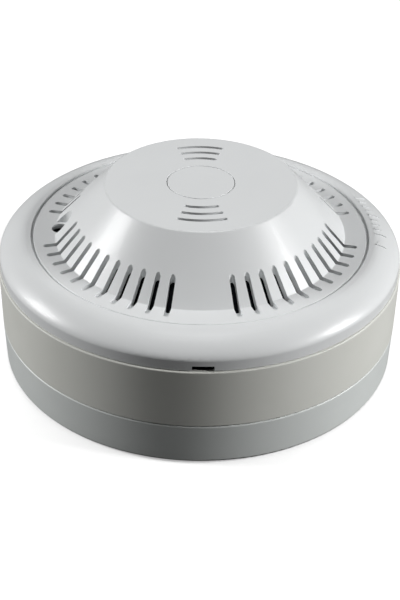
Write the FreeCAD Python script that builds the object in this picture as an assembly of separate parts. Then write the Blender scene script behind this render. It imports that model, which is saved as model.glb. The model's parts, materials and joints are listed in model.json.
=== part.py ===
"""Heat detector, modelled lying on its back: round mounting base, twist-on head and lift-off vented cover.

Frame: millimetres, +Z up and out of the ceiling face, origin at the centre of the flat mounting face.
The front of the detector, where the cover has its pry notch, faces -Y. The indicator lamp is at -X.
Every function builds one sub-part, and export_all() at the end writes them to parts/.
"""
import FreeCAD, Part
import math
import os

from FreeCAD import Vector

# ---------------------------------------------------------------- driving dimensions
OUTER_RADIUS = 53.5          # widest radius, on the head's body
TOTAL_HEIGHT = 49.4          # mounting face to the flat top
WALL = 2.0                   # moulded wall thickness
BASE_TOP = 11.55             # top of the base's rim
JOINT_GAP = 0.15             # gap in the two outer parting lines
BODY_TOP = 28.0              # ledge that the cover's skirt stands on
FLANGE_TOP = 35.25           # flat ring round the foot of the vented cone
PLATE_RADIUS = 25.1          # flat top of the cone
FOOT_RADIUS = 38.3           # foot of the cone
SEAM_RADIUS = 44.3           # middle of the seam between vented cage and outer cover
SEAM_WIDTH = 0.5
SEAM_DEPTH = 0.25            # below it the cage fits closely in the cover

# vents
SLOTS_PER_QUADRANT = 11
SLOT_PITCH_DEG = 6.5
SLOT_WIDTH = 1.45
SLOT_INNER = 32.5            # inner end of a radial slot, on the cone
SLOT_OUTER = 41.7            # outer end, on the flange
SLOT_BREAK = 39.0            # a slot goes right through inside this radius, and is a groove outside it
SLOT_GROOVE_DEPTH = 0.9
VENT_ARC_RADII = (13.15, 16.45, 19.7)
VENT_ARC_WIDTH = 1.1
VENT_ARC_HALF_SPAN_DEG = 17.2

# twist lock between base and head
LOCK_AZIMUTHS = (30.0, 150.0, 270.0)
LUG_SPAN_DEG = 16.0
LEDGE_SPAN_DEG = 20.0
LUG_BOTTOM = 5.8
LUG_TOP = 8.1
LEDGE_BOTTOM = 8.4
LEDGE_TOP = 10.2
LOCK_INNER = 44.8            # inner radius of the base's ledges
SKIRT_OUTER = 43.5           # outer radius of the head's plug-in skirt
LUG_OUTER = 48.5

# base
FLOOR = 2.2
BASE_INNER = 51.3
CABLE_HOLE_RADIUS = 10.25    # clears a 20 mm conduit bush
CABLE_COLLAR_HEIGHT = 4.0
FIXING_SPACING = 60.0
FIXING_SLOT_LENGTH = 9.0
FIXING_SLOT_WIDTH = 4.4
CONTACT_AZIMUTHS = (45.0, 135.0, 225.0, 315.0)
CONTACT_RADIUS = 31.0        # middle of springs and blades
CONTACT_WIDTH = 6.0
POST_TOP = 4.6
RELIEF_DEPTH = 0.7           # moulded-in pockets round the mounting face
SPRING_THICK = 0.5
SCREW_OFFSET = -7.5          # terminal screw, along the tangent from the blade's middle

# head
BODY_BOTTOM = BASE_TOP + JOINT_GAP
BODY_FLOOR_BOTTOM = 12.2
BODY_FLOOR_TOP = 14.2
BODY_INNER = 51.4
SPIGOT_OUTER = 50.9
SPIGOT_INNER = 49.3
SPIGOT_TOP = 30.4
GAP_BOTTOM = 21.6            # foot of the gap in the spigot, behind the cover's pry notch
GAP_OUTER = 52.2             # the gap is also a pocket in the ledge, for the tip of the tool
BLADE_BOTTOM = 6.4
BLADE_THICK = 0.8
BLADE_LENGTH = 7.6
BOARD_BOTTOM = 19.5
BOARD_THICK = 1.6
BOARD_TOP = BOARD_BOTTOM + BOARD_THICK
BOARD_RADIUS = 46.0
BAFFLE_BOTTOM = 29.2
BAFFLE_TOP = 30.4
BAFFLE_RADIUS = 48.8
APRON_BOTTOM = 22.0          # apron behind the gap in the spigot
APRON_SPAN_DEG = 13.0
POST_AZIMUTHS = (90.0, 210.0, 330.0)
POST_RADIUS = 30.0
SPACER_BORE = 1.25
STEM_HOLE_RADIUS = 4.5       # baffle's hole for the button's stem
LAMP_X = -37.0
LAMP_RADIUS = 1.5            # 3 mm lamp
LAMP_RIM_RADIUS = 1.9
LAMP_BOTTOM = 29.1
LAMP_HOLE_RADIUS = 2.3
LAMP_SCALLOP_RADIUS = 3.4    # upright scallop over the lamp hole, in the foot of the cone
LAMP_WALL = 0.9              # wall between the scallop and the sensing chamber
LAMP_LIP = 0.6               # thickness of the flange round the lamp hole
LAMP_RELIEF_RADIUS = 3.2     # wider bore under the lip
SENSOR_Y = 16.0              # exposed sensor at -Y, reference sensor at +Y
EXPOSED_BEAD_Z = 43.6
EXPOSED_HOLDER_TOP = 39.6
REFERENCE_BEAD_Z = 35.6
REFERENCE_HOLDER_TOP = 32.6

# cover
SKIRT_RADIUS = 53.05
SKIRT_BOTTOM = BODY_TOP + JOINT_GAP
SHOULDER_START = 46.0        # where the flat ring starts to round over
SHOULDER_END_Z = 30.9        # where the rounding has become vertical
NOTCH_WIDTH = 5.3
NOTCH_HEIGHT = 1.4

# test button
BUTTON_RADIUS = 8.7
BUTTON_HOLE_RADIUS = 8.9
BUTTON_THICK = 1.4
BUTTON_TRAVEL = 0.6
WELL_OUTER = 10.2
WELL_FLOOR_TOP = 45.0
WELL_FLOOR_BOTTOM = 44.0
STEM_RADIUS = 1.8
SWITCH_BODY_TOP = BOARD_TOP + 3.5
SWITCH_THROAT_BOTTOM = BOARD_TOP + 1.6
PLUNGER_BOTTOM = SWITCH_THROAT_BOTTOM + BUTTON_TRAVEL + 0.2
PLUNGER_TOP = SWITCH_BODY_TOP + 1.5

Z_AXIS = Vector(0, 0, 1)
ORIGIN = Vector(0, 0, 0)


# ---------------------------------------------------------------- drawing helpers
def point(r, z):
    return Vector(r, 0, z)


def rounded_wire(corners):
    """Closed wire in the XZ plane from (r, z) or (r, z, fillet) corners, with an arc at each fillet."""
    flat = [(c[0], c[1], c[2] if len(c) > 2 else 0.0) for c in corners]
    starts, ends, arcs = [], [], []
    for i, (r, z, fillet) in enumerate(flat):
        here = point(r, z)
        if not fillet:
            starts.append(here)
            ends.append(here)
            arcs.append(None)
            continue
        before = point(*flat[i - 1][:2])
        after = point(*flat[(i + 1) % len(flat)][:2])
        back = (before - here).normalize()
        forth = (after - here).normalize()
        half = back.getAngle(forth) / 2
        cut = fillet / math.tan(half)
        to_centre = (back + forth).normalize()
        centre = here + to_centre * (fillet / math.sin(half))
        starts.append(here + back * cut)
        ends.append(here + forth * cut)
        arcs.append(centre - to_centre * fillet)
    edges = []
    for i in range(len(flat)):
        if arcs[i] is not None:
            edges.append(Part.Arc(starts[i], arcs[i], ends[i]).toShape())
        following = starts[(i + 1) % len(flat)]
        if ends[i].distanceToPoint(following) > 1e-6:
            edges.append(Part.LineSegment(ends[i], following).toShape())
    return Part.Wire(edges)


def lathe(corners, span=360.0, start=0.0):
    """Solid of revolution about Z, or a sector of it, from the corners of its section."""
    face = Part.Face(rounded_wire(corners))
    face.rotate(ORIGIN, Z_AXIS, start)
    return face.revolve(ORIGIN, Z_AXIS, span)


def ring(inner, outer, bottom, top):
    """Plain ring, or a disc when inner is 0."""
    solid = Part.makeCylinder(outer, top - bottom, Vector(0, 0, bottom))
    if inner:
        solid = solid.cut(Part.makeCylinder(inner, top - bottom, Vector(0, 0, bottom)))
    return solid


def sector(inner, outer, bottom, top, middle, span):
    """Part of a ring, centred on an azimuth, in degrees."""
    section = [(inner, bottom), (outer, bottom), (outer, top), (inner, top)]
    return lathe(section, span, middle - span / 2)


def rod(radius, bottom, top, x=0.0, y=0.0):
    return Part.makeCylinder(radius, top - bottom, Vector(x, y, bottom))


def block(x, y, bottom, dx, dy, top):
    """Box centred on (x, y), from bottom to top."""
    return Part.makeBox(dx, dy, top - bottom, Vector(x - dx / 2, y - dy / 2, bottom))


def turned(shape, azimuth):
    """Copy of a shape turned about Z."""
    copy = shape.copy()
    copy.rotate(ORIGIN, Z_AXIS, azimuth)
    return copy


def moved(shape, x, y, z=0.0, spin=0.0):
    """Copy of a shape turned about its own Z, then moved."""
    copy = shape.copy()
    copy.rotate(ORIGIN, Z_AXIS, spin)
    copy.translate(Vector(x, y, z))
    return copy


def polar(radius, azimuth):
    a = math.radians(azimuth)
    return radius * math.cos(a), radius * math.sin(a)


def radial_slot(inner, outer, width, bottom, top, azimuth):
    """Upright obround prism that runs outwards, with round ends at inner and outer."""
    half = width / 2
    bar = Part.makeBox(outer - inner - width, width, top - bottom, Vector(inner + half, -half, bottom))
    bar = bar.fuse([rod(half, bottom, top, inner + half), rod(half, bottom, top, outer - half)])
    return turned(bar.removeSplitter(), azimuth)


def arc_slot(radius, width, half_span, bottom, top, azimuth):
    """Upright curved prism along a circle, with round ends."""
    half = width / 2
    bow = sector(radius - half, radius + half, bottom, top, azimuth, 2 * half_span)
    tips = [rod(half, bottom, top, *polar(radius, azimuth + side * half_span)) for side in (-1, 1)]
    return bow.fuse(tips).removeSplitter()


def fused(shapes):
    whole = shapes[0].fuse(list(shapes[1:])) if len(shapes) > 1 else shapes[0]
    return whole.removeSplitter()


def group(shapes):
    """Several separate solids that share one node."""
    return Part.makeCompound(shapes)


# ---------------------------------------------------------------- base
def mounting_base():
    """Round tray: floor, rim, cable collar, fixing slots, terminal posts and the ledges of the twist lock."""
    tray = lathe([
        (CABLE_HOLE_RADIUS, 0, 0.3), (53.1, 0, 1.0), (53.45, BASE_TOP, 0.35), (BASE_INNER, BASE_TOP),
        (BASE_INNER, FLOOR, 0.8), (CABLE_HOLE_RADIUS + WALL, FLOOR),
        (CABLE_HOLE_RADIUS + WALL, CABLE_COLLAR_HEIGHT, 0.5), (CABLE_HOLE_RADIUS, CABLE_COLLAR_HEIGHT, 0.3),
    ])
    adds = [ring(22.0, 23.2, FLOOR - 0.2, FLOOR + 0.9)]
    for azimuth in LOCK_AZIMUTHS:
        adds.append(sector(LOCK_INNER, BASE_INNER + 0.3, LEDGE_BOTTOM, LEDGE_TOP, azimuth, LEDGE_SPAN_DEG))
        stop_middle = azimuth - LUG_SPAN_DEG / 2 - 1.5
        adds.append(sector(LOCK_INNER, BASE_INNER + 0.3, FLOOR - 0.2, LEDGE_TOP, stop_middle, 2.2))
    for azimuth in CONTACT_AZIMUTHS:
        post = block(CONTACT_RADIUS, SCREW_OFFSET - 0.5, FLOOR - 0.2, 9.0, 9.0, POST_TOP)
        adds.append(turned(post, azimuth))
    tray = fused([tray] + adds)
    cuts = [sector(38.0, 47.5, -1, RELIEF_DEPTH, 22.5 + 45 * i, 38.0) for i in range(8)]
    for side in (-1, 1):
        half = FIXING_SLOT_LENGTH / 2
        slot = radial_slot(-half, half, FIXING_SLOT_WIDTH, -1, FLOOR + 2, 0)
        cuts.append(moved(slot, side * FIXING_SPACING / 2, 0))
        recess = sector(BASE_INNER - 1, BASE_INNER + 1.1, FLOOR + 1.2, LEDGE_BOTTOM - 0.6, side * 90, 14.0)
        cuts.append(recess)
    for azimuth in CONTACT_AZIMUTHS:
        pocket = block(CONTACT_RADIUS, SCREW_OFFSET, 1.2, 5.6, 5.6, POST_TOP + 1)
        cuts.append(turned(pocket, azimuth))
    return tray.cut(cuts)


def contact_spring(azimuth):
    """Bent strip: flat foot under the terminal screw, then a sprung arm whose crest presses on the blade."""
    top = POST_TOP + SPRING_THICK
    crest = BLADE_BOTTOM - 0.15
    centreline = [(-12.0, top), (-4.2, top), (-1.2, crest - 0.25), (0.0, crest), (1.2, crest - 0.25),
                  (4.6, POST_TOP + 0.35)]
    upper = [Vector(0, y, z) for y, z in centreline]
    lower = [Vector(0, y, z - SPRING_THICK) for y, z in reversed(centreline)]
    arm = Part.Face(Part.makePolygon(upper + lower + [upper[0]]))
    strip = arm.extrude(Vector(CONTACT_WIDTH, 0, 0))
    strip.translate(Vector(CONTACT_RADIUS - CONTACT_WIDTH / 2, 0, 0))
    strip = strip.cut(rod(1.75, 0, 9, CONTACT_RADIUS, SCREW_OFFSET))
    return turned(strip, azimuth)


def terminal_nuts():
    """Square nuts in the posts' pockets."""
    nut = block(CONTACT_RADIUS, SCREW_OFFSET, 1.3, 5.4, 5.4, 4.4)
    nut = nut.cut(rod(1.5, 0, 9, CONTACT_RADIUS, SCREW_OFFSET))
    return group([turned(nut, azimuth) for azimuth in CONTACT_AZIMUTHS])


def clamp_plates():
    """Square saddle plates that trap the wire against the strip."""
    bottom = POST_TOP + SPRING_THICK
    plate = block(CONTACT_RADIUS, SCREW_OFFSET, bottom, 6.6, 6.4, bottom + 0.9)
    plate = plate.cut([
        rod(1.75, 0, 9, CONTACT_RADIUS, SCREW_OFFSET),
        block(CONTACT_RADIUS - 3.3, SCREW_OFFSET, bottom - 1, 1.0, 7.0, bottom + 0.35),
        block(CONTACT_RADIUS + 3.3, SCREW_OFFSET, bottom - 1, 1.0, 7.0, bottom + 0.35),
    ])
    return group([turned(plate, azimuth) for azimuth in CONTACT_AZIMUTHS])


def pan_screw(shank_radius, head_radius, head_height, length, under_head, recess_depth):
    """Pan-head screw with a cross recess, head up, its shank hanging below z = under_head."""
    head_top = under_head + head_height
    screw = lathe([
        (0, under_head - length), (shank_radius * 0.6, under_head - length),
        (shank_radius, under_head - length + 0.8), (shank_radius, under_head), (head_radius, under_head),
        (head_radius, head_top, head_height * 0.45), (0, head_top),
    ])
    arm = head_radius * 1.1
    cross = [block(0, 0, head_top - recess_depth, arm, 0.7, head_top + 1),
             block(0, 0, head_top - recess_depth, 0.7, arm, head_top + 1)]
    return screw.cut(cross)


def terminal_screws():
    under_head = POST_TOP + SPRING_THICK + 0.9
    screw = pan_screw(1.45, 2.9, 1.9, 4.4, under_head, 1.1)
    return group([
        turned(moved(screw, CONTACT_RADIUS, SCREW_OFFSET, 0, 20 + azimuth), azimuth)
        for azimuth in CONTACT_AZIMUTHS
    ])


# ---------------------------------------------------------------- head
def blade_local():
    """Contact blade at azimuth 0: a flat tab, and a tail up through the body's floor and the board."""
    inner = CONTACT_RADIUS - 2.5
    top = BLADE_BOTTOM + BLADE_THICK
    tab = block(CONTACT_RADIUS, 0, BLADE_BOTTOM, 5.0, BLADE_LENGTH, top)
    tail = block(inner + BLADE_THICK / 2, 0, BLADE_BOTTOM, BLADE_THICK, 3.6, BOARD_BOTTOM - 0.6)
    pin = block(inner + BLADE_THICK / 2, 0, BOARD_BOTTOM - 0.7, BLADE_THICK, 1.6, BOARD_TOP + 0.8)
    return fused([tab, tail, pin])


def contact_blade(azimuth):
    return turned(blade_local(), azimuth)


def body_shell():
    """The head's body: outer band, floor, plug-in skirt with lock lugs, board posts and cover spigot."""
    shell = lathe([
        (0, BODY_FLOOR_BOTTOM), (SKIRT_OUTER - WALL, BODY_FLOOR_BOTTOM), (SKIRT_OUTER - WALL, LUG_BOTTOM),
        (SKIRT_OUTER, LUG_BOTTOM), (SKIRT_OUTER, BODY_FLOOR_BOTTOM), (BODY_INNER, BODY_FLOOR_BOTTOM),
        (BODY_INNER, BODY_BOTTOM), (53.45, BODY_BOTTOM, 0.3), (OUTER_RADIUS, BODY_TOP, 0.3),
        (SPIGOT_OUTER, BODY_TOP), (SPIGOT_OUTER, SPIGOT_TOP, 0.4), (SPIGOT_INNER, SPIGOT_TOP, 0.4),
        (SPIGOT_INNER, 25.6), (BODY_INNER, 23.4), (BODY_INNER, BODY_FLOOR_TOP, 0.8), (0, BODY_FLOOR_TOP),
    ])
    adds = []
    for azimuth in LOCK_AZIMUTHS:
        adds.append(sector(SKIRT_OUTER - 1, LUG_OUTER, LUG_BOTTOM, LUG_TOP, azimuth, LUG_SPAN_DEG))
    for azimuth in POST_AZIMUTHS:
        adds.append(rod(3.1, BODY_FLOOR_TOP - 0.5, BOARD_BOTTOM, *polar(POST_RADIUS, azimuth)))
    for azimuth in CONTACT_AZIMUTHS:
        shoe = block(CONTACT_RADIUS + 0.95, 0, BLADE_BOTTOM + BLADE_THICK, 4.2, 6.4, BODY_FLOOR_BOTTOM + 0.5)
        adds.append(turned(shoe, azimuth))
    shell = fused([shell] + adds)
    gap = block(0, -SPIGOT_OUTER, GAP_BOTTOM, NOTCH_WIDTH + 2.0, 8.0, SPIGOT_TOP + 1)
    cuts = [gap.cut(ring(GAP_OUTER, OUTER_RADIUS + 2, GAP_BOTTOM - 1, BODY_TOP))]
    for azimuth in POST_AZIMUTHS:
        cuts.append(rod(0.95, BODY_FLOOR_TOP + 0.6, BOARD_BOTTOM + 1, *polar(POST_RADIUS, azimuth)))
    for azimuth in CONTACT_AZIMUTHS:
        tail_slot = block(CONTACT_RADIUS - 2.1, 0, BODY_FLOOR_BOTTOM - 1, 1.0, 3.8, BODY_FLOOR_TOP + 1)
        cuts.append(turned(tail_slot, azimuth))
    return shell.cut(cuts)


def circuit_board():
    """Round board with holes for the screws, the blades' pins and the lamp's and sensors' leads."""
    board = ring(0, BOARD_RADIUS, BOARD_BOTTOM, BOARD_TOP)
    cuts = [rod(SPACER_BORE, BOARD_BOTTOM - 1, BOARD_TOP + 1, *polar(POST_RADIUS, a)) for a in POST_AZIMUTHS]
    for azimuth in CONTACT_AZIMUTHS:
        hole = block(CONTACT_RADIUS - 2.1, 0, BOARD_BOTTOM - 1, 1.0, 1.8, BOARD_TOP + 1)
        cuts.append(turned(hole, azimuth))
    cuts.append(block(0, -BOARD_RADIUS, BOARD_BOTTOM - 1, 12.0, 5.0, BOARD_TOP + 1))
    cuts.append(block(0, BOARD_RADIUS, BOARD_BOTTOM - 1, 12.0, 5.0, BOARD_TOP + 1))
    return board.cut(cuts)


def chip(x, y, length, width, height, pins, spin=0.0):
    """Small-outline package: a chamfered body with a row of gull-wing leads down each side."""
    body = block(0, 0, BOARD_TOP + 0.15, length, width, BOARD_TOP + 0.15 + height)
    body = body.makeChamfer(0.2, [e for e in body.Edges if abs(e.BoundBox.ZMin - e.BoundBox.ZMax) < 1e-6])
    solids = [body]
    pitch = length / pins
    for i in range(pins):
        for side in (-1, 1):
            x_lead = (i - (pins - 1) / 2) * pitch
            inner = block(x_lead, side * (width / 2 + 0.2), BOARD_TOP + 0.6, 0.42, 0.6, BOARD_TOP + 0.8)
            down = block(x_lead, side * (width / 2 + 0.4), BOARD_TOP + 0.1, 0.42, 0.2, BOARD_TOP + 0.8)
            foot = block(x_lead, side * (width / 2 + 0.7), BOARD_TOP, 0.42, 0.8, BOARD_TOP + 0.2)
            solids.append(fused([inner, down, foot]))
    return moved(fused(solids), x, y, 0, spin)


def microcontroller():
    return chip(17.0, 4.0, 9.9, 3.9, 1.5, 8, 90)


def comparator():
    return chip(-13.5, -20.0, 4.9, 3.9, 1.5, 4)


def alarm_relay():
    """Sealed signal relay: a rounded box on a thin foot."""
    case = block(0, 0, BOARD_TOP + 0.4, 15.0, 7.4, BOARD_TOP + 7.4)
    upright = [e for e in case.Edges if abs(e.BoundBox.XLength) < 1e-6 and abs(e.BoundBox.YLength) < 1e-6]
    case = case.makeFillet(0.6, upright)
    foot = block(0, 0, BOARD_TOP, 14.0, 6.4, BOARD_TOP + 0.5)
    return moved(fused([case, foot]), 36.0, 4.0, 0, 90)


def can_capacitor(x, y, radius, height):
    """Radial electrolytic: a can with a rolled groove near its foot."""
    top = BOARD_TOP + height
    can = lathe([
        (0, BOARD_TOP), (radius, BOARD_TOP, 0.3), (radius, BOARD_TOP + 1.0),
        (radius - 0.25, BOARD_TOP + 1.35), (radius, BOARD_TOP + 1.7), (radius, top, 0.4), (0, top),
    ])
    return moved(can, x, y)


def filter_capacitors():
    return group([can_capacitor(-16.5, 24.0, 3.15, 7.0), can_capacitor(-24.5, 17.0, 2.5, 6.0),
                  can_capacitor(25.5, -5.0, 2.5, 6.0)])


def transistors():
    """Two TO-92 packages on short legs, each a round body with a flat."""
    flat = block(0, -2.6, BOARD_TOP + 1, 6, 2.0, BOARD_TOP + 8)
    body = rod(2.3, BOARD_TOP + 2.0, BOARD_TOP + 6.6).cut(flat)
    legs = [block(dx, 0, BOARD_TOP, 0.45, 0.45, BOARD_TOP + 2.4) for dx in (-1.27, 0, 1.27)]
    one = fused([body] + legs)
    return group([moved(one, 16.0, 22.5, 0, 40), moved(one, 8.0, 37.0, 0, 170)])


def axial_part(length, radius, lead_radius, span):
    """Axial component lying along X: a round body on one wire that bends down into the board at both ends."""
    height = BOARD_TOP + radius + 0.4
    bend = 2.5 * lead_radius
    half = span / 2
    slant = bend * (1 - math.sqrt(0.5))
    path = [
        Part.LineSegment(Vector(-half, 0, BOARD_TOP), Vector(-half, 0, height - bend)),
        Part.Arc(Vector(-half, 0, height - bend), Vector(slant - half, 0, height - slant),
                 Vector(bend - half, 0, height)),
        Part.LineSegment(Vector(bend - half, 0, height), Vector(half - bend, 0, height)),
        Part.Arc(Vector(half - bend, 0, height), Vector(half - slant, 0, height - slant),
                 Vector(half, 0, height - bend)),
        Part.LineSegment(Vector(half, 0, height - bend), Vector(half, 0, BOARD_TOP)),
    ]
    spine = Part.Wire([piece.toShape() for piece in path])
    section = Part.Wire(Part.makeCircle(lead_radius, Vector(-half, 0, BOARD_TOP), Z_AXIS))
    wire = spine.makePipeShell([section], True, True)
    body = Part.makeCylinder(radius, length, Vector(-length / 2, 0, height), Vector(1, 0, 0))
    body = body.makeFillet(0.3 * radius, [e for e in body.Edges if e.Curve.TypeId == "Part::GeomCircle"])
    return fused([body, wire])


def resistors():
    one = axial_part(6.2, 1.15, 0.3, 9.6)
    places = [(-8.0, -29.0, 0), (-8.0, -33.0, 0), (6.5, -29.0, 0), (6.5, -33.0, 0), (-34.0, 12.0, 75),
              (-38.0, 13.0, 75), (38.5, -11.5, 80), (-12.0, 8.0, 90)]
    return group([moved(one, x, y, 0, spin) for x, y, spin in places])


def rectifier_diodes():
    one = axial_part(5.2, 1.35, 0.4, 9.0)
    return group([moved(one, 29.5 + 3.6 * i, 19.5 - 1.5 * i, 0, 65) for i in range(2)]
                 + [moved(one, -32.5 - 3.6 * i, -17.5 + 1.0 * i, 0, 115) for i in range(2)])


def surge_suppressor():
    """Disc varistor standing on edge on two legs."""
    disc = Part.makeCylinder(3.4, 2.4, Vector(0, -1.2, BOARD_TOP + 4.2), Vector(0, 1, 0))
    disc = disc.makeFillet(0.8, [e for e in disc.Edges if e.Curve.TypeId == "Part::GeomCircle"])
    legs = [rod(0.35, BOARD_TOP, BOARD_TOP + 2.8, dx) for dx in (-1.8, 1.8)]
    return moved(fused([disc] + legs), 20.0, -30.0, 0, 30)


def ceramic_capacitors():
    """Three small lens-shaped capacitors on legs."""
    body = Part.makeBox(4.2, 1.8, 3.4, Vector(-2.1, -0.9, BOARD_TOP + 1.2))
    body = body.makeFillet(0.6, body.Edges)
    legs = [rod(0.28, BOARD_TOP, BOARD_TOP + 2.0, dx) for dx in (-1.27, 1.27)]
    one = fused([body] + legs)
    places = [(10.0, 14.0, 10), (-8.5, -10.5, 60), (11.5, -11.0, -35)]
    return group([moved(one, x, y, 0, spin) for x, y, spin in places])


def test_switch():
    """Body of the tactile switch: a square case with a round throat."""
    case = block(0, 0, BOARD_TOP, 6.0, 6.0, SWITCH_BODY_TOP)
    case = case.makeChamfer(0.3, [e for e in case.Edges if abs(e.BoundBox.ZLength) > 1])
    case = case.cut(rod(1.85, SWITCH_THROAT_BOTTOM, SWITCH_BODY_TOP + 1))
    studs = [rod(0.45, SWITCH_BODY_TOP - 0.1, SWITCH_BODY_TOP + 0.15, dx, dy)
             for dx in (-2.3, 2.3) for dy in (-2.3, 2.3)]
    return fused([case] + studs)


def switch_plunger():
    return lathe([
        (0, PLUNGER_BOTTOM), (1.7, PLUNGER_BOTTOM), (1.7, PLUNGER_TOP, 0.25), (0, PLUNGER_TOP),
    ])


def indicator_lamp():
    """3 mm lamp: flanged barrel with a domed end."""
    dome_centre = LAMP_BOTTOM + 3.8
    lamp = rod(LAMP_RIM_RADIUS, LAMP_BOTTOM, LAMP_BOTTOM + 1.0).fuse([
        rod(LAMP_RADIUS, LAMP_BOTTOM, dome_centre),
        Part.makeSphere(LAMP_RADIUS, Vector(0, 0, dome_centre)),
    ]).removeSplitter()
    return moved(lamp, LAMP_X, 0)


def lamp_leads():
    lead = rod(0.25, BOARD_TOP, LAMP_BOTTOM)
    return group([moved(lead, LAMP_X, side * 1.27) for side in (-1, 1)])


def lamp_spacer():
    """Tube that holds the lamp up off the board."""
    spacer = rod(LAMP_RIM_RADIUS, BOARD_TOP, LAMP_BOTTOM)
    holes = [rod(0.3, BOARD_TOP - 1, LAMP_BOTTOM + 1, 0, side * 1.27) for side in (-1, 1)]
    return moved(spacer.cut(holes), LAMP_X, 0)


def sensor_bead(y, bead_z):
    """Thermistor: a coated bead on two wires that go down to the board."""
    bead = Part.makeSphere(1.2, Vector(0, 0, bead_z))
    neck = lathe([(0, bead_z - 2.6), (0.75, bead_z - 2.6), (1.0, bead_z), (0, bead_z)])
    wires = [rod(0.22, BOARD_TOP, bead_z - 1.0, side * 0.5) for side in (-1, 1)]
    return moved(bead.fuse([neck] + wires).removeSplitter(), 0, y)


def sensor_holder(y, top):
    """Slim stand with a slotted head that keeps the sensor's wires upright."""
    stand = lathe([
        (0, BOARD_TOP), (3.0, BOARD_TOP), (3.0, BOARD_TOP + 0.8), (1.7, BOARD_TOP + 2.0), (1.5, top, 0.3),
        (0, top),
    ])
    bores = [rod(0.32, BOARD_TOP - 1, top + 1, side * 0.5) for side in (-1, 1)]
    return moved(stand.cut(bores), 0, y)


def baffle_plate():
    """Dark plate over the board, with a collar for the stem, holes, and an apron behind the notch."""
    plate = lathe([
        (STEM_HOLE_RADIUS, BAFFLE_BOTTOM), (BAFFLE_RADIUS, BAFFLE_BOTTOM, 0.3),
        (BAFFLE_RADIUS, BAFFLE_TOP, 0.3), (STEM_HOLE_RADIUS + 1.1, BAFFLE_TOP),
        (STEM_HOLE_RADIUS + 1.1, BAFFLE_TOP + 1.0), (STEM_HOLE_RADIUS, BAFFLE_TOP + 1.0),
    ])
    outer = BAFFLE_RADIUS - 0.1
    apron = sector(outer - 1.1, outer, APRON_BOTTOM, BAFFLE_TOP - 0.5, 270, APRON_SPAN_DEG)
    plate = fused([plate, apron])
    low, high = BAFFLE_BOTTOM - 1, BAFFLE_TOP + 1
    cuts = [rod(2.2, low, high, 0, side * SENSOR_Y) for side in (-1, 1)]
    cuts += [rod(SPACER_BORE, low, high, *polar(POST_RADIUS, azimuth)) for azimuth in POST_AZIMUTHS]
    cuts.append(rod(LAMP_HOLE_RADIUS, low, high, LAMP_X, 0))
    return plate.cut(cuts)


def board_spacers():
    """Tubes that hold the baffle plate off the board, one round each long screw."""
    tube = ring(SPACER_BORE, 2.9, BOARD_TOP, BAFFLE_BOTTOM)
    return group([moved(tube, *polar(POST_RADIUS, azimuth)) for azimuth in POST_AZIMUTHS])


def baffle_screws():
    """Long self-tapping screws that clamp baffle and board to the body's posts."""
    screw = pan_screw(0.9, 2.2, 1.5, BAFFLE_TOP - BODY_FLOOR_TOP - 1.4, BAFFLE_TOP, 0.9)
    return group([moved(screw, *polar(POST_RADIUS, a), 0, a + 15) for a in POST_AZIMUTHS])


# ---------------------------------------------------------------- cover
def bezier_edge(*poles):
    curve = Part.BezierCurve()
    curve.setPoles([point(r, z) for r, z in poles])
    return curve.toShape()


def line_edges(*corners):
    return [Part.LineSegment(point(*a), point(*b)).toShape() for a, b in zip(corners, corners[1:])]


SHOULDER_TOP = FLANGE_TOP + 0.3
SHOULDER_POLES = ((SHOULDER_START, SHOULDER_TOP), (SHOULDER_START + 2.6, SHOULDER_TOP),
                  (SKIRT_RADIUS, SHOULDER_END_Z + 1.45), (SKIRT_RADIUS, SHOULDER_END_Z))


def outer_cover():
    """Ring-shaped cover: flat ring, rounded shoulder and skirt, with an inner ledge that carries the cage."""
    hole = SEAM_RADIUS + SEAM_WIDTH / 2
    inside = SKIRT_RADIUS - 1.82
    edges = line_edges((42.5, 31.9), (42.5, FLANGE_BOTTOM), (hole, FLANGE_BOTTOM), (hole, SHOULDER_TOP - 0.2),
                       (hole + 0.2, SHOULDER_TOP), (SHOULDER_START, SHOULDER_TOP))
    edges.append(bezier_edge(*SHOULDER_POLES))
    edges += line_edges((SKIRT_RADIUS, SHOULDER_END_Z), (SKIRT_RADIUS, SKIRT_BOTTOM + 0.15),
                        (SKIRT_RADIUS - 0.15, SKIRT_BOTTOM), (inside, SKIRT_BOTTOM), (inside, 30.8))
    edges.append(bezier_edge((inside, 30.8), (inside, 31.7), (48.2, 33.4), (46.4, 33.4)))
    edges += line_edges((46.4, 33.4), (45.6, 31.9), (42.5, 31.9))
    cover = Part.Face(Part.Wire(edges)).revolve(ORIGIN, Z_AXIS, 360)
    notch = block(0, -SKIRT_RADIUS, SKIRT_BOTTOM - 1, NOTCH_WIDTH, 5.0, SKIRT_BOTTOM + NOTCH_HEIGHT)
    cover = cover.cut(notch)
    return cover.fuse(shoulder_marks()).removeSplitter()


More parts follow.
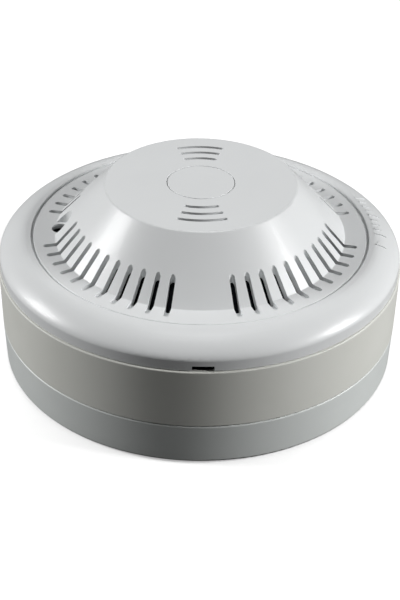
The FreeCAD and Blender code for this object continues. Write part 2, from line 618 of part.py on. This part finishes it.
def shoulder_marks():
    """Raised ticks and one arrow head on the shoulder: plain direction marks for the twist lock."""
    rise = 0.22
    sink = 0.25
    upper = [(r, z + rise) for r, z in SHOULDER_POLES]
    lower = [(r, z - sink) for r, z in SHOULDER_POLES]
    start, end = SHOULDER_POLES[0], SHOULDER_POLES[-1]
    edges = [bezier_edge(*upper)]
    edges += line_edges((end[0], end[1] + rise), (end[0], end[1] - sink))
    edges.append(bezier_edge(*reversed(lower)))
    edges += line_edges((start[0], start[1] - sink), (start[0], start[1] + rise))
    skin = Part.Face(Part.Wire(edges))
    skin.rotate(ORIGIN, Z_AXIS, -20)
    skin = skin.revolve(ORIGIN, Z_AXIS, 50)
    stamps = []
    for i in range(9):
        length = 3.0 if i % 4 == 0 else 2.0
        tick = block(46.4 + length / 2, 0, 30, length, 0.5, 40)
        stamps.append(turned(tick, -3.0 + 3.0 * i))
    head = Part.makePolygon([Vector(46.4, -1.3, 30), Vector(49.2, -1.3, 30), Vector(47.8, 1.5, 30),
                             Vector(46.4, -1.3, 30)])
    stamps.append(turned(Part.Face(head).extrude(Vector(0, 0, 10)), -8.5))
    return [skin.common(stamp) for stamp in stamps]


CONE_RUN = FOOT_RADIUS - PLATE_RADIUS
CONE_RISE = TOTAL_HEIGHT - FLANGE_TOP
CONE_LENGTH = math.hypot(CONE_RUN, CONE_RISE)
FLANGE_BOTTOM = FLANGE_TOP - 1.9
PLATE_BOTTOM = TOTAL_HEIGHT - 1.9
CONE_WALL = 1.7
CAGE_FIT = 0.08              # radial gap between cage and outer cover
HOOK_BOTTOM = 30.9           # feet of the cage's four snap legs
SCREEN_BOTTOM = 31.7
SCREEN_TOP = 43.4


def cone_radius(z, depth):
    """Radius at height z of a cone that lies a given depth inside the outer one, measured square to it."""
    foot_r = FOOT_RADIUS - depth * CONE_RISE / CONE_LENGTH
    foot_z = FLANGE_TOP - depth * CONE_RUN / CONE_LENGTH
    return foot_r - (z - foot_z) * CONE_RUN / CONE_RISE


def sensor_cage():
    """Vented cage: flange, cone and flat top, with slots, scalloped lamp hole, button well and snap legs."""
    rim = SEAM_RADIUS - SEAM_WIDTH / 2
    fit = SEAM_RADIUS + SEAM_WIDTH / 2 - CAGE_FIT
    seam_floor = FLANGE_TOP - SEAM_DEPTH
    cage = lathe([
        (BUTTON_HOLE_RADIUS, TOTAL_HEIGHT, 0.08), (PLATE_RADIUS, TOTAL_HEIGHT, 0.6),
        (FOOT_RADIUS, FLANGE_TOP, 0.35), (rim, FLANGE_TOP, 0.25), (rim, seam_floor), (fit, seam_floor),
        (fit, FLANGE_BOTTOM), (cone_radius(FLANGE_BOTTOM, CONE_WALL), FLANGE_BOTTOM, 0.5),
        (cone_radius(PLATE_BOTTOM, CONE_WALL), PLATE_BOTTOM, 0.8),
        (WELL_OUTER, PLATE_BOTTOM, 0.4), (WELL_OUTER, WELL_FLOOR_BOTTOM),
        (STEM_RADIUS + 0.1, WELL_FLOOR_BOTTOM), (STEM_RADIUS + 0.1, WELL_FLOOR_TOP),
        (BUTTON_HOLE_RADIUS, WELL_FLOOR_TOP),
    ])
    legs = []
    for azimuth in (0.0, 90.0, 180.0, 270.0):
        leg = block(41.5, 0, HOOK_BOTTOM, 1.2, 6.0, FLANGE_BOTTOM + 0.4)
        lips = block(41.45, 0, HOOK_BOTTOM, 3.5, 6.0, SCREEN_BOTTOM)
        legs.append(turned(leg.fuse(lips), azimuth))
    envelope = lathe([(0, FLANGE_BOTTOM), (FOOT_RADIUS, FLANGE_BOTTOM), (FOOT_RADIUS, FLANGE_TOP),
                      (PLATE_RADIUS, TOTAL_HEIGHT), (0, TOTAL_HEIGHT)])
    chimney = rod(LAMP_SCALLOP_RADIUS + LAMP_WALL, FLANGE_BOTTOM, TOTAL_HEIGHT, LAMP_X).common(envelope)
    cage = cage.fuse(legs + [chimney]).removeSplitter()
    bottom, top = FLANGE_BOTTOM - 1, TOTAL_HEIGHT
    cuts = []
    for quadrant in range(4):
        for i in range(SLOTS_PER_QUADRANT):
            first = (90 - (SLOTS_PER_QUADRANT - 1) * SLOT_PITCH_DEG) / 2
            azimuth = 90 * quadrant + first + i * SLOT_PITCH_DEG
            cuts.append(radial_slot(SLOT_INNER, SLOT_BREAK, SLOT_WIDTH, bottom, top, azimuth))
            cuts.append(radial_slot(SLOT_BREAK - 2 * SLOT_WIDTH, SLOT_OUTER, SLOT_WIDTH,
                                    FLANGE_TOP - SLOT_GROOVE_DEPTH, top, azimuth))
    for azimuth in (90, 270):
        for radius in VENT_ARC_RADII:
            cuts.append(arc_slot(radius, VENT_ARC_WIDTH, VENT_ARC_HALF_SPAN_DEG,
                                 PLATE_BOTTOM - 1, TOTAL_HEIGHT + 1, azimuth))
    cuts.append(rod(LAMP_HOLE_RADIUS, bottom, top, LAMP_X, 0))
    cuts.append(rod(LAMP_RELIEF_RADIUS, bottom, FLANGE_TOP - LAMP_LIP, LAMP_X, 0))
    cuts.append(rod(LAMP_SCALLOP_RADIUS, FLANGE_TOP, top, LAMP_X, 0))
    return cage.cut(cuts)


def insect_screen():
    """Conical liner behind the slots: two hoops, thin upright bars and cross rings, open between them."""
    depth_out, depth_in = CONE_WALL + 0.45, CONE_WALL + 1.05
    section = ((SCREEN_BOTTOM, depth_in), (SCREEN_BOTTOM, depth_out), (SCREEN_TOP, depth_out),
               (SCREEN_TOP, depth_in))
    cone = lathe([(cone_radius(z, depth), z) for z, depth in section])
    foot = ring(cone_radius(SCREEN_BOTTOM, depth_in), 40.4, SCREEN_BOTTOM, SCREEN_BOTTOM + 0.6)
    bands = [(33.0, 35.4), (36.0, 38.4), (39.0, 41.4)]
    windows = []
    for i in range(60):
        for low, high in bands:
            window = block(33.0, 0, low, 20.0, 1.3, high)
            windows.append(turned(window, 6 * i + 3))
    screen = cone.fuse(foot).removeSplitter().cut(windows)
    return screen.cut(rod(LAMP_SCALLOP_RADIUS + LAMP_WALL + 0.3, SCREEN_BOTTOM - 1, SCREEN_TOP, LAMP_X, 0))


# ---------------------------------------------------------------- test button
def test_button():
    """Flush round button: a disc on a long stem that reaches the switch."""
    disc_bottom = TOTAL_HEIGHT - BUTTON_THICK
    clip_groove = WELL_FLOOR_BOTTOM - 0.8
    return lathe([
        (0, PLUNGER_TOP + 0.1), (STEM_RADIUS, PLUNGER_TOP + 0.1, 0.3), (STEM_RADIUS, clip_groove),
        (STEM_RADIUS - 0.4, clip_groove), (STEM_RADIUS - 0.4, clip_groove + 0.7),
        (STEM_RADIUS, clip_groove + 0.7), (STEM_RADIUS, disc_bottom), (BUTTON_RADIUS, disc_bottom),
        (BUTTON_RADIUS, TOTAL_HEIGHT, 0.08), (0, TOTAL_HEIGHT),
    ])


def button_clip():
    """Open retaining clip in the stem's groove, under the well's floor."""
    bottom = WELL_FLOOR_BOTTOM - 0.75
    clip = ring(STEM_RADIUS - 0.35, 3.5, bottom, bottom + 0.6)
    return clip.cut(block(0, -2.5, bottom - 1, 2.0, 5.0, bottom + 2))


def button_spring():
    """Coil spring round the stem, between the well's floor and the disc."""
    wire_radius, coil_radius, turns = 0.25, 3.2, 3.5
    low = WELL_FLOOR_TOP + wire_radius + 0.02
    high = TOTAL_HEIGHT - BUTTON_THICK - wire_radius - 0.02
    helix = Part.makeHelix((high - low) / turns, high - low, coil_radius)
    section = Part.Wire(Part.makeCircle(wire_radius, Vector(coil_radius, 0, 0), Vector(0, 1, 0)))
    coil = Part.Wire(helix.Edges).makePipeShell([section], True, True)
    coil.translate(Vector(0, 0, low))
    return coil


# ---------------------------------------------------------------- export
def export_all():
    nodes = {
        "mounting_base": mounting_base(),
        "terminal_nuts": terminal_nuts(),
        "clamp_plates": clamp_plates(),
        "terminal_screws": terminal_screws(),
        "body_shell": body_shell(),
        "circuit_board": circuit_board(),
        "microcontroller": microcontroller(),
        "comparator": comparator(),
        "alarm_relay": alarm_relay(),
        "filter_capacitors": filter_capacitors(),
        "transistors": transistors(),
        "resistors": resistors(),
        "rectifier_diodes": rectifier_diodes(),
        "surge_suppressor": surge_suppressor(),
        "ceramic_capacitors": ceramic_capacitors(),
        "test_switch": test_switch(),
        "switch_plunger": switch_plunger(),
        "indicator_lamp": indicator_lamp(),
        "lamp_leads": lamp_leads(),
        "lamp_spacer": lamp_spacer(),
        "exposed_thermistor": sensor_bead(-SENSOR_Y, EXPOSED_BEAD_Z),
        "exposed_thermistor_holder": sensor_holder(-SENSOR_Y, EXPOSED_HOLDER_TOP),
        "reference_thermistor": sensor_bead(SENSOR_Y, REFERENCE_BEAD_Z),
        "reference_thermistor_holder": sensor_holder(SENSOR_Y, REFERENCE_HOLDER_TOP),
        "baffle_plate": baffle_plate(),
        "board_spacers": board_spacers(),
        "baffle_screws": baffle_screws(),
        "outer_cover": outer_cover(),
        "sensor_cage": sensor_cage(),
        "insect_screen": insect_screen(),
        "test_button": test_button(),
        "button_clip": button_clip(),
        "button_spring": button_spring(),
    }
    for number, azimuth in enumerate(CONTACT_AZIMUTHS, 1):
        nodes[f"contact_spring_{number}"] = contact_spring(azimuth)
        nodes[f"contact_blade_{number}"] = contact_blade(azimuth)
    os.makedirs("parts", exist_ok=True)
    for name, shape in sorted(nodes.items()):
        shape.exportStep(f"parts/{name}.step")
        print(f"{name:30s} solids {len(shape.Solids)}  valid {shape.isValid()}  volume {shape.Volume:9.2f}")


export_all()
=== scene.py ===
"""Looks of the heat detector: procedural materials, soft studio light and the camera, round the CAD frame."""
import json
import math

import bpy
from mathutils import Matrix, Vector


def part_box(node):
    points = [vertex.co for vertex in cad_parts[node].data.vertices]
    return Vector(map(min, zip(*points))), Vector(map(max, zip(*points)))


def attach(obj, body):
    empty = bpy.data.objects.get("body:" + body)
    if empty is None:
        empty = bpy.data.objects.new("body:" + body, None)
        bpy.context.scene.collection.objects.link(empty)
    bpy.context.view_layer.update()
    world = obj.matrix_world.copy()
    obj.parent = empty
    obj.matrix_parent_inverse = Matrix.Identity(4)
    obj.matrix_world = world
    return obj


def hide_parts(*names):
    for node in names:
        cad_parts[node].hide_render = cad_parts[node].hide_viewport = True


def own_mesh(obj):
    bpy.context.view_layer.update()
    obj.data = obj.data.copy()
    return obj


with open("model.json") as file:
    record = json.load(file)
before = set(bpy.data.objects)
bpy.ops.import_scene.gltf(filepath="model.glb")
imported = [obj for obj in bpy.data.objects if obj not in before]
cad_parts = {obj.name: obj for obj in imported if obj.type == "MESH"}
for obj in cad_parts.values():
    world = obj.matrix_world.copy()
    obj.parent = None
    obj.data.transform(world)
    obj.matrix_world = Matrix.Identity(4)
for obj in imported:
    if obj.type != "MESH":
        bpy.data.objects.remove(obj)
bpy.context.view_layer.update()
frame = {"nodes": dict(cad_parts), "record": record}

NODES = frame["nodes"]

MM = 0.001

NOISE_SPAN = (0.3, 0.7)      # most of a noise texture lies between these

# moulded plastic; scales are in features per metre
FLOW_SCALE = 45.0            # clouding of the colour
POLISH_SCALE = 160.0         # patches of higher and lower polish
WAVE_SCALE = 55.0            # slow waviness of the face
WAVE_HEIGHT = 0.02 * MM
ABS_IOR = 1.53

# metal
TARNISH_SCALE = 400.0
STREAK_SCALE = 900.0
STREAK_STRETCH = 0.12        # streaks run along Z
STREAK_HEIGHT = 0.004 * MM

# circuit board
TRACK_GRID = (("Brick Width", 13.0 * MM), ("Row Height", 1.3 * MM), ("Mortar Size", 0.17 * MM))
TRACK_OFFSET = 0.37          # stagger between rows
TURN_SCALE = 55.0            # patches where the tracks turn crosswise
BARE_SCALE = 90.0            # patches without tracks
PAD_SCALE = 240.0
MASK_SKIN_SCALE = 900.0
TRACK_HEIGHT = 0.03 * MM
PAD_HEIGHT = 0.05 * MM
MASK_DARK = (0.012, 0.085, 0.035, 1.0)
MASK_OVER_TRACK = (0.03, 0.17, 0.07, 1.0)
SOLDER = (0.45, 0.45, 0.42, 1.0)

# epoxy
SKIN_HEIGHT = 0.03 * MM
LAMP_CLOUD_SCALE = 800.0
LAMP_POLISH_SCALE = 500.0
# lamp colours: partly the smoky epoxy's own tint, partly painted shade, darkened so that the hole the lamp
# sits in looks dark
SMOKE_AND_SHADE_PALE = (0.05, 0.06, 0.05, 1.0)
SMOKE_AND_SHADE_DARK = (0.03, 0.04, 0.03, 1.0)
EPOXY_IOR = 1.5


# ---------------------------------------------------------------- node helpers
def new_material(name):
    """New node material, with its tree and its Principled shader."""
    mat = bpy.data.materials.new(name)
    mat.use_nodes = True
    tree = mat.node_tree
    shader = tree.nodes["Principled BSDF"]
    return mat, tree, shader


def add(tree, kind, **settings):
    """Adds a node and sets its properties or, by their names, its input sockets."""
    node = tree.nodes.new(kind)
    for key, value in settings.items():
        if hasattr(node, key):
            setattr(node, key, value)
        else:
            node.inputs[key.replace("_", " ")].default_value = value
    return node


def noise(tree, scale, detail=3.0, rough=0.5):
    """Noise texture in object space; scale is in features per metre."""
    place = add(tree, "ShaderNodeTexCoord")
    node = add(tree, "ShaderNodeTexNoise", Scale=scale, Detail=detail, Roughness=rough)
    tree.links.new(place.outputs["Object"], node.inputs["Vector"])
    return node.outputs["Fac"]


def remap(tree, value, low, high, out_low, out_high):
    """Linear map of a socket's value from one range to another, held at the ends."""
    node = add(tree, "ShaderNodeMapRange")
    for socket, number in zip(("From Min", "From Max", "To Min", "To Max"), (low, high, out_low, out_high)):
        node.inputs[socket].default_value = number
    tree.links.new(value, node.inputs["Value"])
    return node.outputs["Result"]


def vary(tree, value, low, high):
    """Spreads a noise socket over a range."""
    return remap(tree, value, *NOISE_SPAN, low, high)


def blend(tree, factor, first, second):
    """Mixes two colours, each an RGBA tuple or a socket; 6, 7 and 2 are the Mix node's colour sockets."""
    node = add(tree, "ShaderNodeMix", data_type="RGBA")
    for socket, value in ((node.inputs[6], first), (node.inputs[7], second)):
        if isinstance(value, tuple):
            socket.default_value = value
        else:
            tree.links.new(value, socket)
    tree.links.new(factor, node.inputs[0])
    return node.outputs[2]


def bump(tree, shader, heights):
    """Chains bump nodes; heights is a list of (socket, height in metres)."""
    normal = None
    for socket, height in heights:
        node = add(tree, "ShaderNodeBump", Strength=1.0, Distance=height)
        tree.links.new(socket, node.inputs["Height"])
        if normal is not None:
            tree.links.new(normal, node.inputs["Normal"])
        normal = node.outputs["Normal"]
    tree.links.new(normal, shader.inputs["Normal"])


def rgba(color, factor=1.0):
    """Colour with each channel scaled, as RGBA."""
    return tuple(c * factor for c in color) + (1.0,)


# ---------------------------------------------------------------- materials
def moulded_plastic(name, color, rough, grain_mm, grain_height, clouding=0.03, warm_shift=0.0, coat=0.0,
                    specular=0.5):
    """Injection-moulded ABS: faint flow clouding, tool-polish roughness and a fine grain."""
    mat, tree, shader = new_material(name)
    cloud = noise(tree, FLOW_SCALE, 4.0, 0.55)
    tint = (color[0] * (1 - clouding), color[1] * (1 - clouding), color[2] * (1 - clouding - warm_shift))
    tree.links.new(blend(tree, vary(tree, cloud, 0.0, 1.0), rgba(color), rgba(tint)),
                   shader.inputs["Base Color"])
    tree.links.new(vary(tree, noise(tree, POLISH_SCALE, 5.0, 0.6), rough * 0.9, rough * 1.12),
                   shader.inputs["Roughness"])
    fine = noise(tree, 1.0 / (grain_mm * MM), 2.0, 0.5)
    wave = noise(tree, WAVE_SCALE, 1.0, 0.4)
    bump(tree, shader, [(fine, grain_height * MM), (wave, WAVE_HEIGHT)])
    shader.inputs["IOR"].default_value = ABS_IOR
    shader.inputs["Coat Weight"].default_value = coat
    shader.inputs["Specular IOR Level"].default_value = specular
    return mat


def metal(name, color, rough):
    """Plated or bright metal with fine rubbed streaks."""
    mat, tree, shader = new_material(name)
    place = add(tree, "ShaderNodeTexCoord")
    stretch = add(tree, "ShaderNodeMapping")
    stretch.inputs["Scale"].default_value = (1.0, 1.0, STREAK_STRETCH)
    streaks = add(tree, "ShaderNodeTexNoise", Scale=STREAK_SCALE, Detail=4.0)
    tree.links.new(place.outputs["Object"], stretch.inputs["Vector"])
    tree.links.new(stretch.outputs["Vector"], streaks.inputs["Vector"])
    tree.links.new(blend(tree, noise(tree, TARNISH_SCALE), rgba(color), rgba(color, 0.8)),
                   shader.inputs["Base Color"])
    tree.links.new(vary(tree, streaks.outputs["Fac"], rough * 0.7, rough * 1.4), shader.inputs["Roughness"])
    bump(tree, shader, [(streaks.outputs["Fac"], STREAK_HEIGHT)])
    shader.inputs["Metallic"].default_value = 1.0
    return mat


def circuit_board_finish(name):
    """Green solder mask over copper: pads, and runs of track that lie crosswise in some patches."""
    mat, tree, shader = new_material(name)
    place = add(tree, "ShaderNodeTexCoord")
    runs = []
    for turn in (0.0, math.pi / 2):
        spin = add(tree, "ShaderNodeMapping")
        spin.inputs["Rotation"].default_value = (0.0, 0.0, turn)
        grid = add(tree, "ShaderNodeTexBrick", offset=TRACK_OFFSET, Scale=1.0)
        for socket, size in TRACK_GRID:
            grid.inputs[socket].default_value = size
        grid.inputs["Mortar Smooth"].default_value = 0.1
        tree.links.new(place.outputs["Object"], spin.inputs["Vector"])
        tree.links.new(spin.outputs["Vector"], grid.inputs["Vector"])
        runs.append(grid.outputs["Fac"])
    crosswise = remap(tree, noise(tree, TURN_SCALE, 0.0), 0.5, 0.505, 0.0, 1.0)
    filled = remap(tree, noise(tree, BARE_SCALE, 0.0), 0.44, 0.445, 0.0, 1.0)
    either = add(tree, "ShaderNodeMix", data_type="FLOAT")
    tree.links.new(crosswise, either.inputs[0])
    tree.links.new(runs[0], either.inputs[2])
    tree.links.new(runs[1], either.inputs[3])
    tracks = add(tree, "ShaderNodeMath", operation="MULTIPLY")
    tree.links.new(either.outputs[0], tracks.inputs[0])
    tree.links.new(filled, tracks.inputs[1])
    cells = add(tree, "ShaderNodeTexVoronoi", Scale=PAD_SCALE, Randomness=0.7)
    tree.links.new(place.outputs["Object"], cells.inputs["Vector"])
    pads = remap(tree, cells.outputs["Distance"], 0.13, 0.15, 1.0, 0.0)
    mask = blend(tree, tracks.outputs[0], MASK_DARK, MASK_OVER_TRACK)
    tree.links.new(blend(tree, pads, mask, SOLDER), shader.inputs["Base Color"])
    tree.links.new(vary(tree, noise(tree, MASK_SKIN_SCALE), 0.29, 0.4), shader.inputs["Roughness"])
    bump(tree, shader, [(tracks.outputs[0], TRACK_HEIGHT), (pads, PAD_HEIGHT)])
    return mat


def coated(name, color, rough, spots=600.0, shade=0.85):
    """Dipped or moulded epoxy on small components, with a slightly uneven skin; spots is a noise scale."""
    mat, tree, shader = new_material(name)
    tree.links.new(blend(tree, noise(tree, spots), rgba(color), rgba(color, shade)),
                   shader.inputs["Base Color"])
    tree.links.new(vary(tree, noise(tree, spots * 2), rough * 0.8, rough * 1.2), shader.inputs["Roughness"])
    bump(tree, shader, [(noise(tree, spots), SKIN_HEIGHT)])
    return mat


def lamp_epoxy(name):
    """Unlit lamp: smoky clear epoxy, kept so dark that it also gives the painted shade of the hole it sits
    in.
    """
    mat, tree, shader = new_material(name)
    tree.links.new(blend(tree, noise(tree, LAMP_CLOUD_SCALE), SMOKE_AND_SHADE_PALE, SMOKE_AND_SHADE_DARK),
                   shader.inputs["Base Color"])
    tree.links.new(vary(tree, noise(tree, LAMP_POLISH_SCALE), 0.06, 0.12), shader.inputs["Roughness"])
    shader.inputs["Transmission Weight"].default_value = 0.5
    shader.inputs["IOR"].default_value = EPOXY_IOR
    return mat


FINISHES = {
    "gloss_white_abs": moulded_plastic("gloss white ABS", (0.80, 0.815, 0.82), 0.32, 0.5, 0.0012, coat=0.05,
                                       specular=0.32),
    "warm_white_abs": moulded_plastic("warm white ABS", (0.775, 0.78, 0.735), 0.42, 0.25, 0.004, 0.04, 0.01),
    "cool_white_abs": moulded_plastic("cool white ABS", (0.77, 0.80, 0.785), 0.36, 0.3, 0.003, 0.04),
    # near-black bluish moulding: partly the black parts' own colour, partly painted shade, as it is made
    # darker than real black plastic so that the screen and the apron behind the locking notch give the deep
    # shade inside the sensor cage and the notch
    "black_plastic": moulded_plastic("black moulding and painted shade", (0.004, 0.005, 0.009), 0.6, 0.3, 0.004, 0.2,
                                     specular=0.15),
    "plunger_grey": moulded_plastic("plunger grey", (0.05, 0.05, 0.055), 0.4, 0.3, 0.003),
    "spacer_white": moulded_plastic("spacer nylon", (0.62, 0.61, 0.56), 0.4, 0.3, 0.003),
    "relay_white": moulded_plastic("relay case", (0.6, 0.58, 0.5), 0.3, 0.3, 0.002),
    "chip_black": coated("chip epoxy", (0.018, 0.018, 0.02), 0.5, 1500.0),
    "capacitor_sleeve": coated("capacitor sleeve", (0.02, 0.035, 0.1), 0.3, 200.0),
    "resistor_tan": coated("resistor lacquer", (0.5, 0.36, 0.2), 0.35, 900.0, 0.7),
    "varistor_blue": coated("varistor epoxy", (0.02, 0.08, 0.3), 0.3),
    "ceramic_ochre": coated("ceramic epoxy", (0.5, 0.24, 0.04), 0.3),
    "bead_epoxy": coated("thermistor bead", (0.02, 0.018, 0.015), 0.2),
    "lamp_epoxy": lamp_epoxy("lamp epoxy"),
    "board_green": circuit_board_finish("circuit board"),
    "tinned_steel": metal("tinned strip", (0.72, 0.72, 0.70), 0.3),
    "zinc_steel": metal("zinc plate", (0.62, 0.63, 0.66), 0.28),
    "spring_steel": metal("spring strip", (0.60, 0.61, 0.64), 0.22),
    "brass_nut": metal("brass", (0.70, 0.50, 0.20), 0.3),
}

for entry in frame["record"]["subparts"]:
    mesh = NODES[entry["node"]].data
    mesh.materials.clear()
    mesh.materials.append(FINISHES[entry["material_slot"]])


# ---------------------------------------------------------------- button spring
SPRING_WIRE_RADIUS = 0.25 * MM
SPRING_TURNS = 3.5
STEPS_PER_TURN = 48
WIRE_SIDES = 14


def coil_mesh(name, radius, bottom, top):
    """Tube along a helix about Z, closed at both ends."""
    steps = int(SPRING_TURNS * STEPS_PER_TURN)
    verts = []
    for i in range(steps + 1):
        angle = 2 * math.pi * i / STEPS_PER_TURN
        outward = Vector((math.cos(angle), math.sin(angle), 0.0))
        centre = outward * radius + Vector((0.0, 0.0, bottom + (top - bottom) * i / steps))
        for k in range(WIRE_SIDES):
            around = 2 * math.pi * k / WIRE_SIDES
            lift = Vector((0.0, 0.0, math.sin(around)))
            verts.append(centre + SPRING_WIRE_RADIUS * (outward * math.cos(around) + lift))
    faces = [tuple(range(WIRE_SIDES)), tuple(reversed(range(steps * WIRE_SIDES, (steps + 1) * WIRE_SIDES)))]
    for i in range(steps):
        for k in range(WIRE_SIDES):
            here, beside = i * WIRE_SIDES + k, i * WIRE_SIDES + (k + 1) % WIRE_SIDES
            faces.append((here, here + WIRE_SIDES, beside + WIRE_SIDES, beside))
    mesh = bpy.data.meshes.new(name)
    mesh.from_pydata(verts, [], faces)
    mesh.polygons.foreach_set("use_smooth", [len(face) == 4 for face in faces])
    return mesh


def build_button_spring():
    """Coil in the place of the CAD's spring, parented to the cover's empty. The real spring shortens as the
    button goes in; this coil keeps its length.
    """
    low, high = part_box("button_spring")
    mesh = coil_mesh("button_spring_coil", high.x - SPRING_WIRE_RADIUS, low.z + SPRING_WIRE_RADIUS,
                     high.z - SPRING_WIRE_RADIUS)
    coil = bpy.data.objects.new("button_spring_coil", mesh)
    bpy.context.scene.collection.objects.link(coil)
    mesh.materials.append(FINISHES["spring_steel"])
    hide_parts("button_spring")
    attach(coil, "cover")
    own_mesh(coil)


build_button_spring()


# ---------------------------------------------------------------- floor
FLOOR_GLOW = 0.42            # own light of the floor near the object, so that its contact shadow still shows
FLOOR_FADE = (0.3, 1.0)      # distances between which the floor fades out to plain white, in metres
FLOOR_HALF = 3.0
FLOOR_LEVEL = -0.0002        # just under the part's flat back
FLOOR_GRAIN_SCALE = 300.0
FLOOR_PALE = (0.92, 0.92, 0.92, 1.0)
FLOOR_DULL = (0.89, 0.89, 0.89, 1.0)
FLOOR_UNSEEN = (0.10, 0.10, 0.10, 1.0)


def floor_finish():
    """Pale matt floor. Rays that light the object see it darker, as if the table ended in a dark studio."""
    mat, tree, shader = new_material("floor")
    paths = add(tree, "ShaderNodeLightPath")
    pale = blend(tree, noise(tree, FLOOR_GRAIN_SCALE, 4.0), FLOOR_PALE, FLOOR_DULL)
    tree.links.new(blend(tree, paths.outputs["Is Camera Ray"], FLOOR_UNSEEN, pale),
                   shader.inputs["Base Color"])
    shader.inputs["Emission Color"].default_value = (1.0, 1.0, 1.0, 1.0)
    place = add(tree, "ShaderNodeTexCoord")
    distance = add(tree, "ShaderNodeVectorMath", operation="LENGTH")
    tree.links.new(place.outputs["Object"], distance.inputs[0])
    glow = add(tree, "ShaderNodeMath", operation="MULTIPLY")
    tree.links.new(remap(tree, distance.outputs["Value"], *FLOOR_FADE, FLOOR_GLOW, 1.0), glow.inputs[0])
    tree.links.new(paths.outputs["Is Camera Ray"], glow.inputs[1])
    tree.links.new(glow.outputs["Value"], shader.inputs["Emission Strength"])
    shader.inputs["Roughness"].default_value = 0.8
    shader.inputs["Specular IOR Level"].default_value = 0.1
    return mat


def build_floor():
    mesh = bpy.data.meshes.new("floor")
    corners = ((-1, -1), (1, -1), (1, 1), (-1, 1))
    mesh.from_pydata([(x * FLOOR_HALF, y * FLOOR_HALF, FLOOR_LEVEL) for x, y in corners], [], [(0, 1, 2, 3)])
    floor = bpy.data.objects.new("floor", mesh)
    bpy.context.scene.collection.objects.link(floor)
    mesh.materials.append(floor_finish())


build_floor()


# ---------------------------------------------------------------- light and camera
LIGHT_TARGET = (0.0, 0.0, 0.03)
WORLD_FILL = 0.035           # light from the room; the camera sees it as plain white


def softbox(name, azimuth, elevation, distance, size, power):
    """Rectangular softbox aimed at the object. Azimuth 0 is the front, -Y; 90 is +X."""
    a, e = math.radians(azimuth), math.radians(elevation)
    aim = Vector(LIGHT_TARGET)
    spot = aim + distance * Vector((math.sin(a) * math.cos(e), -math.cos(a) * math.cos(e), math.sin(e)))
    data = bpy.data.lights.new(name, "AREA")
    data.shape = "RECTANGLE"
    data.size, data.size_y = size
    data.energy = power
    lamp = bpy.data.objects.new(name, data)
    lamp.location = spot
    lamp.rotation_euler = (aim - spot).to_track_quat("-Z", "Y").to_euler()
    bpy.context.scene.collection.objects.link(lamp)


softbox("top_box", 180, 86, 0.9, (0.35, 0.35), 1.3)
softbox("right_box", 79.5, 24, 0.8, (0.26, 0.30), 6.0)
softbox("left_box", -96.5, 26, 0.8, (0.26, 0.28), 5.0)

world = bpy.data.worlds.new("studio")
world.use_nodes = True
backdrop = world.node_tree.nodes["Background"]
backdrop.inputs["Color"].default_value = (1.0, 1.0, 1.0, 1.0)
world_path = add(world.node_tree, "ShaderNodeLightPath")
world_seen = remap(world.node_tree, world_path.outputs["Is Camera Ray"], 0.0, 1.0, WORLD_FILL, 1.0)
world.node_tree.links.new(world_seen, backdrop.inputs["Strength"])
bpy.context.scene.world = world
bpy.context.scene.view_settings.view_transform = "Standard"

CAMERA_PLACE = Vector((-0.00723, -0.28850, 0.20764))
CAMERA_TARGET = Vector((0.00032, 0.0, 0.01245))
CAMERA_ROLL_DEG = 1.05
CAMERA_LENS = 75.84
SENSOR = 36.0


def build_camera():
    """Camera in front of the object and above it."""
    data = bpy.data.cameras.new("camera")
    data.sensor_width = SENSOR
    data.lens = CAMERA_LENS
    data.clip_start = 0.01
    camera = bpy.data.objects.new("camera", data)
    aim = (CAMERA_TARGET - CAMERA_PLACE).to_track_quat("-Z", "Y").to_matrix().to_4x4()
    camera.matrix_world = Matrix.Translation(CAMERA_PLACE) @ aim @ Matrix.Rotation(
        math.radians(CAMERA_ROLL_DEG), 4, "Z")
    bpy.context.scene.collection.objects.link(camera)
    bpy.context.scene.camera = camera


build_camera()
